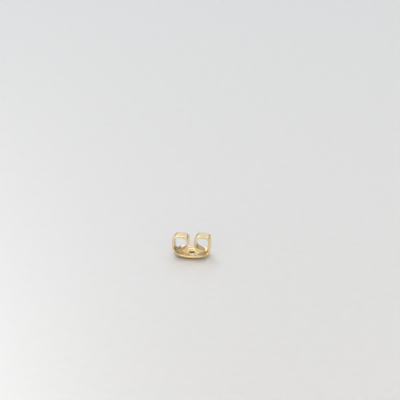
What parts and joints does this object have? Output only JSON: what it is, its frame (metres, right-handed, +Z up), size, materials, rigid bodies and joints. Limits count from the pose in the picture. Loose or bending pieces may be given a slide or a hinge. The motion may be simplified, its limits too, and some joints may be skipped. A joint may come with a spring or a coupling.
{
  "type": "butterfly earring back",
  "caption": "Butterfly earring back: an oval plate with a post hole, its ends rolled up into facing spring scrolls that grip the post.",
  "frame": {"origin": "on the axis of the post hole, in the plane that the pressed ring stands on", "axes": "+X along the strip, towards the scroll with the longer tail; +Y across the strip, away from the viewer; +Z up from the ear side to the scrolls"},
  "size_m": [0.0058, 0.0038, 0.0034],
  "materials": {
    "gold": "polished yellow gold sheet with fine hand-wear"
  },
  "bodies": {
    "root": {"butterfly_back": "gold"}
  },
  "joints": []
}
